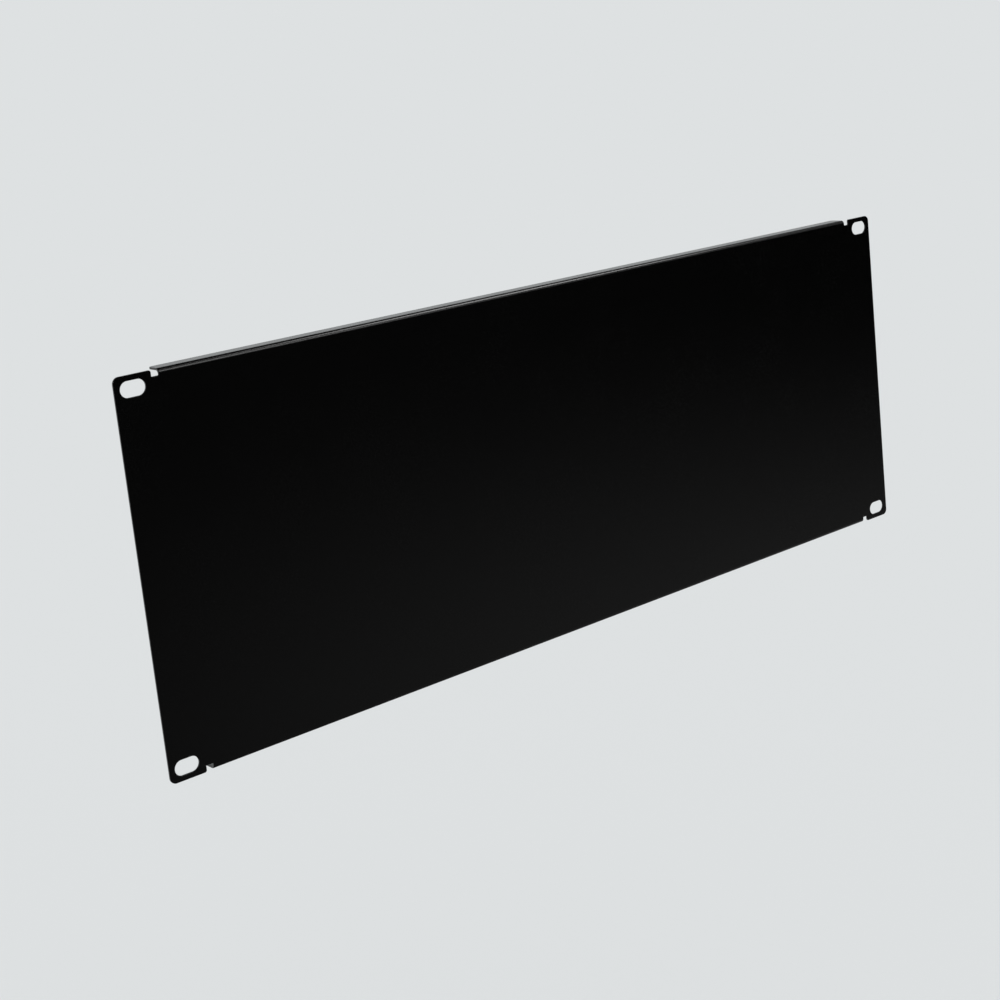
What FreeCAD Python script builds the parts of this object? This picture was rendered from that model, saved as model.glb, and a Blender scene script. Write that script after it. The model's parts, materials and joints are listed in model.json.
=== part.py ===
import FreeCAD, Part
import math
import os
from FreeCAD import Vector

# Rack blanking panel: one steel sheet, punched and folded, that covers four empty
# units of a 19-inch equipment rack.
#
# Millimetres. X runs along the panel's width, +Z is up and the front faces -Y.
# The origin is the middle of the four mounting slots on the rear face of the sheet,
# which is the plane where the panel's ears meet the rack's rails. The flanges stand
# behind that plane, between the rails.

# ---- driving dimensions -------------------------------------------------------------

# the rack's own grid (EIA-310)
rack_unit = 44.45
units_covered = 4
rail_hole_spacing = 465.1  # between the two columns of rail holes
outer_hole_inset = 6.35  # from a unit's boundary to its outermost rail hole

# the sheet
sheet = 1.0
edge_break = 0.15  # a bevel on every cut edge, as deburring and the coating leave it
height_clearance = 0.8  # how much lower the panel is than the units that it covers

# the ears, one at each end, and their slots
slot_length = 11.9
slot_width = 7.0
slot_to_end = 8.75  # from the middle of a slot to the panel's end
slot_to_relief = 9.0  # from the middle of a slot to the ear's inner edge
ear_outer_corner = 3.0
ear_inner_corner = 1.0

# the folds along the top and the bottom
bend_inner_radius = 1.0
flange_depth = 9.0  # from the panel's front face to the flange's free edge
flange_corner = 2.0
relief_width = 3.5  # the notch between an ear and the end of a flange
relief_past_bend = 0.9  # how far the notch is cut past the end of the bend

# ---- sizes that follow from them ----------------------------------------------------

space_height = units_covered * rack_unit
slot_spacing_high = space_height - 2 * outer_hole_inset

front = -sheet  # the rear face is the plane y = 0
half_width = rail_hole_spacing / 2 + slot_to_end
half_height = (space_height - height_clearance) / 2

bend_outer_radius = bend_inner_radius + sheet
bend_line = half_height - bend_outer_radius  # height at which the web turns into the bend
relief_floor = bend_line - relief_past_bend
ear_inner_edge = rail_hole_spacing / 2 - slot_to_relief
fold_half_length = ear_inner_edge - relief_width
flange_free_edge = front + flange_depth
smooth_seam = math.radians(10)  # faces that turn by less than this run on smoothly


# ---- helpers ------------------------------------------------------------------------


def rounded_outline(corners):
    """A closed wire through the corners, each (point, radius); radius 0 stays sharp."""
    turns = []
    for i, (point, radius) in enumerate(corners):
        to_last = (corners[i - 1][0] - point).normalize()
        to_next = (corners[(i + 1) % len(corners)][0] - point).normalize()
        half_angle = to_last.getAngle(to_next) / 2
        inward = (to_last + to_next).normalize()
        reach = radius / math.tan(half_angle)
        middle = point + inward * (radius / math.sin(half_angle) - radius)
        turns.append((point + to_last * reach, middle, point + to_next * reach, radius))
    edges = []
    for i, (start, middle, stop, radius) in enumerate(turns):
        if radius > 0:
            edges.append(Part.Arc(start, middle, stop).toShape())
        next_start = turns[(i + 1) % len(turns)][0]
        edges.append(Part.LineSegment(stop, next_start).toShape())
    return Part.Wire(edges)


def slab(wire, thickness):
    """The solid that a flat closed wire sweeps through the vector thickness."""
    return Part.Face(wire).extrude(thickness)


# ---- the sheet's parts --------------------------------------------------------------


def blank_corners():
    """The flat stretch of the sheet: two ears, and the web up to both bend lines."""
    upper_right = [
        ((fold_half_length, bend_line), 0),
        ((fold_half_length, relief_floor), 0),
        ((ear_inner_edge, relief_floor), 0),
        ((ear_inner_edge, half_height), ear_inner_corner),
        ((half_width, half_height), ear_outer_corner),
    ]
    right = upper_right + [((x, -z), r) for (x, z), r in reversed(upper_right)]
    around = right + [((-x, z), r) for (x, z), r in reversed(right)]
    return [(Vector(x, front, z), r) for (x, z), r in around]


def flat_blank():
    return slab(rounded_outline(blank_corners()), Vector(0, sheet, 0))


def slot_cutter(x, z):
    """An obround, lengthwise along X, that runs through the sheet at (x, z)."""
    half_run = (slot_length - slot_width) / 2
    half_gap = slot_width / 2
    upper_left = Vector(x - half_run, front, z + half_gap)
    upper_right = Vector(x + half_run, front, z + half_gap)
    lower_left = Vector(x - half_run, front, z - half_gap)
    lower_right = Vector(x + half_run, front, z - half_gap)
    right_end = Vector(x + slot_length / 2, front, z)
    left_end = Vector(x - slot_length / 2, front, z)
    edges = [
        Part.LineSegment(upper_left, upper_right).toShape(),
        Part.Arc(upper_right, right_end, lower_right).toShape(),
        Part.LineSegment(lower_right, lower_left).toShape(),
        Part.Arc(lower_left, left_end, upper_left).toShape(),
    ]
    return slab(Part.Wire(edges), Vector(0, sheet, 0))


def upper_fold():
    """The bend along the web's upper edge and the flange that it carries to the rear."""
    length = 2 * fold_half_length
    web_edge = Part.makePlane(length, sheet, Vector(-fold_half_length, front, bend_line))
    bend_axis = Vector(0, bend_inner_radius, bend_line)
    bend = web_edge.revolve(bend_axis, Vector(1, 0, 0), -90)
    outline = [
        (Vector(-fold_half_length, bend_inner_radius, half_height), 0),
        (Vector(fold_half_length, bend_inner_radius, half_height), 0),
        (Vector(fold_half_length, flange_free_edge, half_height), flange_corner),
        (Vector(-fold_half_length, flange_free_edge, half_height), flange_corner),
    ]
    flange = slab(rounded_outline(outline), Vector(0, 0, -sheet))
    return bend.fuse(flange)


def cut_edges(solid):
    """The edges where the sheet was cut. Along its other edges it runs on smoothly."""
    found = []
    for edge in solid.Edges:
        middle = edge.valueAt((edge.FirstParameter + edge.LastParameter) / 2)
        sides = solid.ancestorsOfType(edge, Part.Face)
        normals = [side.normalAt(*side.Surface.parameter(middle)) for side in sides]
        if normals[0].getAngle(normals[1]) > smooth_seam:
            found.append(edge)
    return found


def panel():
    """The folded and slotted sheet, as one solid with its cut edges broken."""
    fold = upper_fold()
    lower_fold = fold.mirror(Vector(0, 0, 0), Vector(0, 0, 1))
    folded = flat_blank().fuse([fold, lower_fold])
    slots = []
    for x in (-rail_hole_spacing / 2, rail_hole_spacing / 2):
        for z in (-slot_spacing_high / 2, slot_spacing_high / 2):
            slots.append(slot_cutter(x, z))
    solid = folded.cut(slots).removeSplitter().Solids[0]
    return solid.makeChamfer(edge_break, cut_edges(solid))


os.makedirs("parts", exist_ok=True)
panel().exportStep("parts/panel.step")
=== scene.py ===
import json
import math

import bmesh
import bpy
from mathutils import Matrix, Vector


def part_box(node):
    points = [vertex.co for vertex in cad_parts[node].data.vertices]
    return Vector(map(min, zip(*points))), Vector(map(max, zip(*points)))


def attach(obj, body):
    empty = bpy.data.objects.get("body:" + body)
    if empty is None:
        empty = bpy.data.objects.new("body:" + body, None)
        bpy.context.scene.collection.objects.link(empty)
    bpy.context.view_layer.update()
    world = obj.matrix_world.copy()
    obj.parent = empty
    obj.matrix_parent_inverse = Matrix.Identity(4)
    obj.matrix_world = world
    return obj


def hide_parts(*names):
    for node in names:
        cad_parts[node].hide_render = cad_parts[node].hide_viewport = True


# Rack blanking panel. Metres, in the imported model's frame: X along the panel, +Z up, and
# the front faces -Y. The panel is one folded sheet, so the scene has one piece, which is
# made the way the sheet is: a flat blank with its slots and notches, then two folds.

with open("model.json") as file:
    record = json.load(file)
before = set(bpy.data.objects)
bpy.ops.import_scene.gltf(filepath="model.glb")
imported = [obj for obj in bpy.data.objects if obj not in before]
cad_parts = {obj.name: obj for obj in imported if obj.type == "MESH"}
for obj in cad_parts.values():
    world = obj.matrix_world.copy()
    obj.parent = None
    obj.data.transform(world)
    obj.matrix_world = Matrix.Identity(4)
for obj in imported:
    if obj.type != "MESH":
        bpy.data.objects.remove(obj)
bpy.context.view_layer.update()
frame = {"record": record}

MM = 0.001

# ---- sizes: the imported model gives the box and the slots, and the rest repeats part.py ----

box_low, box_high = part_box("panel")
HALF_WIDTH = box_high.x
HALF_HEIGHT = box_high.z
FLANGE_FREE_EDGE = box_high.y
SHEET = -box_low.y

rack_bolts = next(m for m in frame["record"]["mounts"] if m["name"] == "rack_bolts")
SLOT_X = rack_bolts["dims"]["spacing_x_mm"] / 2 * MM
SLOT_Z = rack_bolts["dims"]["spacing_y_mm"] / 2 * MM
SLOT_RADIUS = rack_bolts["dims"]["hole_r_mm"] * MM
SLOT_LENGTH = rack_bolts["dims"]["slot_length_mm"] * MM

SLOT_TO_RELIEF = 9.0 * MM
RELIEF_WIDTH = 3.5 * MM
RELIEF_PAST_BEND = 0.9 * MM
RELIEF_CORNER = 0.25 * MM
EAR_OUTER_CORNER = 3.0 * MM
EAR_INNER_CORNER = 1.0 * MM
FLANGE_CORNER = 2.0 * MM
BEND_INNER_RADIUS = 1.0 * MM

EDGE_ROUND = 0.2 * MM  # the coated, deburred edge
BEND_BULGE = 0.14 * MM  # how far the inside of a bend swells out at its two ends

BEND_OUTER_RADIUS = BEND_INNER_RADIUS + SHEET
BEND_LINE = HALF_HEIGHT - BEND_OUTER_RADIUS
RELIEF_FLOOR = BEND_LINE - RELIEF_PAST_BEND
EAR_INNER_EDGE = SLOT_X - SLOT_TO_RELIEF
FOLD_HALF_LENGTH = EAR_INNER_EDGE - RELIEF_WIDTH
BEND_RUN = math.pi / 2 * (BEND_INNER_RADIUS + SHEET / 2)
BLANK_HALF_HEIGHT = BEND_LINE + BEND_RUN + FLANGE_FREE_EDGE - BEND_INNER_RADIUS

ARC_STEP = math.radians(5)
EDGE_STEPS = 4
BEND_STEPS = 24


# ---- the sheet -----------------------------------------------------------------------


def arc(centre, radius, start, turn):
    """Points of an arc about centre, from the angle start on through turn radians."""
    steps = max(2, round(abs(turn) / ARC_STEP))
    angles = [start + turn * i / steps for i in range(steps + 1)]
    return [centre + Vector((math.cos(a), math.sin(a))) * radius for a in angles]


def rounded(corners):
    """The closed loop through the corners, each (x, z, radius), anticlockwise."""
    points = []
    for i, (x, z, radius) in enumerate(corners):
        corner = Vector((x, z))
        to_last = (Vector(corners[i - 1][:2]) - corner).normalized()
        to_next = (Vector(corners[(i + 1) % len(corners)][:2]) - corner).normalized()
        half_angle = to_last.angle(to_next) / 2
        centre = corner + (to_last + to_next).normalized() * (radius / math.sin(half_angle))
        first = corner + to_last * (radius / math.tan(half_angle)) - centre
        turn = math.copysign(math.pi - 2 * half_angle, to_next.cross(to_last))
        points += arc(centre, radius, math.atan2(first.y, first.x), turn)
    return points


def blank_outline():
    quarter = [
        (FOLD_HALF_LENGTH, BLANK_HALF_HEIGHT, FLANGE_CORNER),
        (FOLD_HALF_LENGTH, RELIEF_FLOOR, RELIEF_CORNER),
        (EAR_INNER_EDGE, RELIEF_FLOOR, RELIEF_CORNER),
        (EAR_INNER_EDGE, HALF_HEIGHT, EAR_INNER_CORNER),
        (HALF_WIDTH, HALF_HEIGHT, EAR_OUTER_CORNER),
    ]
    right = quarter + [(x, -z, r) for x, z, r in reversed(quarter)]
    around = right + [(-x, z, r) for x, z, r in reversed(right)]
    return rounded(around[::-1])


def slot_outline(x, z):
    """An obround, clockwise, so that the sheet lies to the left of its edge too."""
    half_run = SLOT_LENGTH / 2 - SLOT_RADIUS
    right = arc(Vector((x + half_run, z)), SLOT_RADIUS, math.pi / 2, -math.pi)
    left = arc(Vector((x - half_run, z)), SLOT_RADIUS, -math.pi / 2, -math.pi)
    return right + left


def inward(points):
    """For each point of a loop, the step into the sheet that insets its edges by one."""
    steps = []
    for i, point in enumerate(points):
        before = (point - points[i - 1]).normalized()
        after = (points[(i + 1) % len(points)] - point).normalized()
        n1, n2 = Vector((-before.y, before.x)), Vector((-after.y, after.x))
        steps.append((n1 + n2) / (1 + n1.dot(n2)))
    return steps


def edge_profile():
    """(inset, depth) of each ring of a rounded edge, from the front face to the rear."""
    turns = [math.pi / 2 * i / EDGE_STEPS for i in range(EDGE_STEPS + 1)]
    front = [(EDGE_ROUND * (1 - math.sin(a)), EDGE_ROUND * (1 - math.cos(a))) for a in turns]
    return front + [(inset, SHEET - depth) for inset, depth in reversed(front)]


def add_edge(bm, outline):
    """The rounded edge of the sheet along a loop. Returns its front and rear rings."""
    steps = inward(outline)
    rings = []
    for inset, depth in edge_profile():
        places = [p + step * inset for p, step in zip(outline, steps)]
        rings.append([bm.verts.new((p.x, depth, p.y)) for p in places])
    for ring, following in zip(rings, rings[1:]):
        for i in range(len(ring)):
            bm.faces.new((ring[i - 1], ring[i], following[i], following[i - 1]))
    return rings[0], rings[-1]


def ring_edges(bm, ring):
    return [bm.edges.get((ring[i - 1], ring[i])) for i in range(len(ring))]


def fold(co):
    """Where a point of the flat blank, (x, depth, height), lies once it is folded."""
    side = math.copysign(1, co.z)
    past = abs(co.z) - BEND_LINE
    if past <= 0 or abs(co.x) > FOLD_HALF_LENGTH + RELIEF_WIDTH / 2:
        return Vector((co.x, co.y - SHEET, co.z))
    angle = min(past / BEND_RUN, 1) * math.pi / 2
    radius = BEND_OUTER_RADIUS - co.y
    along_flange = max(past - BEND_RUN, 0)
    y = BEND_INNER_RADIUS - radius * math.cos(angle) + along_flange
    z = BEND_LINE + radius * math.sin(angle)
    x = co.x
    if abs(x) > FOLD_HALF_LENGTH - 2 * EDGE_ROUND:
        swell = BEND_BULGE * (co.y / SHEET - 0.4) * math.sin(2 * angle) ** 2
        x += math.copysign(swell, x)
    return Vector((x, y, side * z))


def folded_sheet(name):
    bm = bmesh.new()
    loops = [blank_outline()]
    loops += [slot_outline(x, z) for x in (-SLOT_X, SLOT_X) for z in (-SLOT_Z, SLOT_Z)]
    front_edges, rear_edges = [], []
    for outline in loops:
        front, rear = add_edge(bm, outline)
        front_edges += ring_edges(bm, front)
        rear_edges += ring_edges(bm, rear)
    for edges in (front_edges, rear_edges):
        bmesh.ops.triangle_fill(bm, use_beauty=True, use_dissolve=False, edges=edges)
    for side in (-1, 1):
        for i in range(BEND_STEPS + 1):
            height = side * (BEND_LINE + BEND_RUN * i / BEND_STEPS)
            bmesh.ops.bisect_plane(
                bm,
                geom=bm.verts[:] + bm.edges[:] + bm.faces[:],
                dist=1e-8,
                plane_co=(0, 0, height),
                plane_no=(0, 0, 1),
            )
    for vert in bm.verts:
        vert.co = fold(vert.co)
    bmesh.ops.recalc_face_normals(bm, faces=bm.faces[:])
    mesh = bpy.data.meshes.new(name)
    bm.to_mesh(mesh)
    bm.free()
    mesh.shade_smooth()
    piece = bpy.data.objects.new(name, mesh)
    bpy.context.scene.collection.objects.link(piece)
    weighted = piece.modifiers.new("even_normals", "WEIGHTED_NORMAL")
    weighted.mode = "FACE_AREA"
    weighted.weight = 100
    return piece


# ---- materials -----------------------------------------------------------------------


class Nodes:
    """Short hands for building a node tree."""

    def __init__(self, tree):
        self.tree = tree
        tree.nodes.clear()

    def add(self, kind, inputs=None, **settings):
        node = self.tree.nodes.new(kind)
        for key, value in settings.items():
            setattr(node, key, value)
        for key, value in (inputs or {}).items():
            if isinstance(value, bpy.types.NodeSocket):
                self.tree.links.new(value, node.inputs[key])
            else:
                node.inputs[key].default_value = value
        return node

    def noise(self, at, size, detail=2.0, roughness=0.5):
        """Noise with lumps of about size metres, from 0 to 1."""
        inputs = {"Vector": at, "Scale": 1 / size, "Detail": detail, "Roughness": roughness}
        return self.add("ShaderNodeTexNoise", inputs).outputs[0]

    def spread(self, value, low, high, from_low=0.3, from_high=0.7, smooth=False):
        """value, from the range from_low to from_high, mapped to low to high."""
        inputs = {0: value, 1: from_low, 2: from_high, 3: low, 4: high}
        course = "SMOOTHSTEP" if smooth else "LINEAR"
        return self.add("ShaderNodeMapRange", inputs, interpolation_type=course).outputs[0]


ROUGHNESS = 0.24
ROUGHNESS_BY_GRAIN = 0.04
ROUGHNESS_BY_PATCH = 0.015
IOR = 1.5
SPECULAR = 0.5
BLACK_LOW = (0.0004, 0.0004, 0.0004)
BLACK_HIGH = (0.0010, 0.0010, 0.0010)
GRAIN_SIZE = 0.45 * MM
GRAIN_DEPTH = 0.012 * MM
RIPPLE_SIZE = 3.0 * MM
RIPPLE_DEPTH = 0.006 * MM
PATCH_SIZE = 45 * MM


def powder_coat():
    """Satin black powder coat: a fine, even grain that never quite levels."""
    material = bpy.data.materials.new("satin_black_powder_coat")
    material.use_nodes = True
    n = Nodes(material.node_tree)
    at = n.add("ShaderNodeTexCoord").outputs["Object"]
    grain = n.noise(at, GRAIN_SIZE, detail=3.0, roughness=0.6)
    ripple = n.noise(at, RIPPLE_SIZE, detail=1.0)
    patches = n.noise(at, PATCH_SIZE, detail=2.0)
    roughness = n.spread(grain, ROUGHNESS - ROUGHNESS_BY_GRAIN, ROUGHNESS + ROUGHNESS_BY_GRAIN)
    drift = n.spread(patches, -ROUGHNESS_BY_PATCH, ROUGHNESS_BY_PATCH)
    roughness = n.add("ShaderNodeMath", {0: roughness, 1: drift}, operation="ADD").outputs[0]
    colours = {0: grain, 6: (*BLACK_LOW, 1), 7: (*BLACK_HIGH, 1)}
    black = n.add("ShaderNodeMix", colours, data_type="RGBA").outputs[2]
    soft = n.add(
        "ShaderNodeBump",
        {"Strength": 1.0, "Distance": RIPPLE_DEPTH, "Height": ripple},
    ).outputs[0]
    bumped = n.add(
        "ShaderNodeBump",
        {"Strength": 1.0, "Distance": GRAIN_DEPTH, "Height": grain, "Normal": soft},
    ).outputs[0]
    shader = n.add(
        "ShaderNodeBsdfPrincipled",
        {
            "Base Color": black,
            "Roughness": roughness,
            "IOR": IOR,
            "Specular IOR Level": SPECULAR,
            "Normal": bumped,
        },
    )
    n.add("ShaderNodeOutputMaterial", {"Surface": shader.outputs[0]})
    return material


panel = folded_sheet("panel_sheet")
panel.data.materials.append(powder_coat())
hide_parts("panel")
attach(panel, "root")


# ---- stage ---------------------------------------------------------------------------

PALE = (0.7305, 0.7529, 0.7605)  # of the floor and of the backdrop
FLOOR_DROP = 0.55  # the panel hangs free, this far above the floor
FLOOR_RADIUS = 8.0
FLOOR_SIDES = 96

# dark screens that glow a little, which only glossy rays see: painted reflections on the
# panel's coat
BOWL_PROFILE = [(0.0, -0.50), (0.45, -0.50), (0.66, -0.44), (0.75, -0.30), (0.75, 0.30)]
BOWL_COLUMNS = 72
BOWL_FLOOR_ROWS = 2  # the rows of faces that also run behind the panel
BOWL_HALF_OPENING = math.radians(85)  # how far round from the front the wall runs
BOWL_FOOT, BOWL_HEAD = -0.46, -0.02  # between these heights its glow, a painted reflection, fades to none
BOWL_LEFT, BOWL_RIGHT = 0.07, 0.26  # its painted reflection's glow at the middle and at its right
BOWL_REACH = 0.65
# the ceiling card, whose faint glow seen only in reflections is a painted dark reflection
CEILING_HALF = 1.8
CEILING_HEIGHT = 1.1
CEILING_LEVEL = 0.03


def stage_mesh(name, verts, faces, material):
    mesh = bpy.data.meshes.new(name)
    mesh.from_pydata(verts, [], faces)
    mesh.shade_smooth()
    mesh.materials.append(material)
    piece = bpy.data.objects.new(name, mesh)
    bpy.context.scene.collection.objects.link(piece)
    return piece


def pale_floor():
    material = bpy.data.materials.new("pale_floor")
    material.use_nodes = True
    n = Nodes(material.node_tree)
    shader = n.add(
        "ShaderNodeBsdfPrincipled",
        {"Base Color": (*PALE, 1), "Roughness": 1.0, "Specular IOR Level": 0.0},
    )
    n.add("ShaderNodeOutputMaterial", {"Surface": shader.outputs[0]})
    return material


floor_height = box_low.z - FLOOR_DROP
rim = [
    (FLOOR_RADIUS * math.cos(a), FLOOR_RADIUS * math.sin(a), floor_height)
    for a in [math.tau * i / FLOOR_SIDES for i in range(FLOOR_SIDES)]
]
stage_mesh("floor", rim, [tuple(range(FLOOR_SIDES))], pale_floor())

world = bpy.data.worlds.new("studio")
bpy.context.scene.world = world
world.use_nodes = True
n = Nodes(world.node_tree)
path = n.add("ShaderNodeLightPath")
seen = path.outputs["Is Camera Ray"]
for ray in ("Is Glossy Ray", "Is Transmission Ray"):
    inputs = {0: seen, 1: path.outputs[ray]}
    seen = n.add("ShaderNodeMath", inputs, operation="MAXIMUM").outputs[0]
light = n.add("ShaderNodeBackground", {"Color": (1, 1, 1, 1), "Strength": 1.0}).outputs[0]
shown = n.add("ShaderNodeBackground", {"Color": (*PALE, 1), "Strength": 1.0}).outputs[0]
both = n.add("ShaderNodeMixShader", {0: seen, 1: light, 2: shown}).outputs[0]
n.add("ShaderNodeOutputWorld", {"Surface": both})


def painted_reflection_material(name, at_foot, at_head, foot, head, left=1.0, right=1.0):
    """A dark card that glows a little, by height and from left to right; where only glossy
    rays see the card, its glow is a painted reflection.
    """
    material = bpy.data.materials.new(name)
    material.use_nodes = True
    n = Nodes(material.node_tree)
    at = n.add("ShaderNodeTexCoord").outputs["Object"]
    split = n.add("ShaderNodeSeparateXYZ", {0: at})
    up = n.spread(split.outputs[2], at_foot, at_head, foot, head, smooth=True)
    along = n.spread(split.outputs[0], left, right, 0.0, BOWL_REACH)
    level = n.add("ShaderNodeMath", {0: up, 1: along}, operation="MULTIPLY")
    # the card's glow, seen only in reflections: a painted reflection on the coat
    shader = n.add("ShaderNodeEmission", {"Strength": level.outputs[0]})
    n.add("ShaderNodeOutputMaterial", {"Surface": shader.outputs[0]})
    return material


def only_in_reflections(piece):
    piece.visible_camera = False
    piece.visible_diffuse = False
    piece.visible_transmission = False
    piece.visible_volume_scatter = False
    piece.visible_shadow = False


def painted_reflection_bowl():
    """A dark screen below the panel and, as a wall, in front of it. It glows more towards its
    foot and its right, and only glossy rays see it, so its glow is a painted reflection on the
    coat.
    """
    verts, faces = [], []
    for i in range(BOWL_COLUMNS):
        a = math.tau * i / BOWL_COLUMNS
        verts += [(r * math.sin(a), -r * math.cos(a), z) for r, z in BOWL_PROFILE]
    rows = len(BOWL_PROFILE)
    for i in range(BOWL_COLUMNS):
        here, following = i * rows, (i + 1) % BOWL_COLUMNS * rows
        middle = math.tau * (i + 0.5) / BOWL_COLUMNS
        in_front = math.cos(middle) > math.cos(BOWL_HALF_OPENING)
        for j in range(rows - 1 if in_front else BOWL_FLOOR_ROWS):
            faces.append((here + j, following + j, following + j + 1, here + j + 1))
    light = painted_reflection_material(
        "painted_reflection_bowl", 1.0, 0.0, BOWL_FOOT, BOWL_HEAD, BOWL_LEFT, BOWL_RIGHT
    )
    only_in_reflections(stage_mesh("painted_reflection_bowl", verts, faces, light))


def painted_reflection_ceiling():
    """A dark ceiling that glows faintly and that only glossy rays see: a painted dark
    reflection above the panel.
    """
    corners = [(-1, -1), (1, -1), (1, 1), (-1, 1)]
    verts = [(x * CEILING_HALF, y * CEILING_HALF, CEILING_HEIGHT) for x, y in corners]
    light = painted_reflection_material("painted_reflection_ceiling", CEILING_LEVEL, CEILING_LEVEL, 0.0, 1.0)
    only_in_reflections(stage_mesh("painted_reflection_ceiling", verts, [(0, 1, 2, 3)], light))


painted_reflection_bowl()
painted_reflection_ceiling()


def soft_lamp(name, place, target, size, radiance, lit):
    """A square lamp of that radiance, whose light falls on the piece lit and nothing else."""
    lamp = bpy.data.lights.new(name, "AREA")
    lamp.shape = "SQUARE"
    lamp.size = size
    lamp.energy = radiance * size * size * math.pi
    piece = bpy.data.objects.new(name, lamp)
    bpy.context.scene.collection.objects.link(piece)
    place, target = Vector(place), Vector(target)
    aim = (target - place).to_track_quat("-Z", "Y").to_matrix().to_4x4()
    piece.matrix_world = Matrix.Translation(place) @ aim
    receivers = bpy.data.collections.new(name + "_lights")
    receivers.objects.link(lit)
    piece.light_linking.receiver_collection = receivers


soft_lamp("key", (0.62, -0.25, 0.88), (0, 0, 0), 0.42, 5.5, lit=panel)
soft_lamp("fill", (0.53, -1.18, 0.89), (-0.2, 0, 0), 0.5, 3.4, lit=panel)


# ---- camera --------------------------------------------------------------------------

CAMERA_PLACE = Vector((-0.56710, -0.65647, 0.20360))
CAMERA_AIM = Vector((-0.040045, 0, 0.042403))
CAMERA_ROLL = math.radians(-5.944)

camera = bpy.data.cameras.new("camera")
camera.sensor_width = 36
camera.lens = 64.15
camera.shift_y = -0.109
camera.clip_start = 0.01
camera.clip_end = 50
view = bpy.data.objects.new("camera", camera)
bpy.context.scene.collection.objects.link(view)
bpy.context.scene.camera = view
aim = (CAMERA_AIM - CAMERA_PLACE).to_track_quat("-Z", "Y").to_matrix().to_4x4()
view.matrix_world = (
    Matrix.Translation(CAMERA_PLACE) @ aim @ Matrix.Rotation(CAMERA_ROLL, 4, "Z")
)

bpy.context.scene.view_settings.view_transform = "Standard"
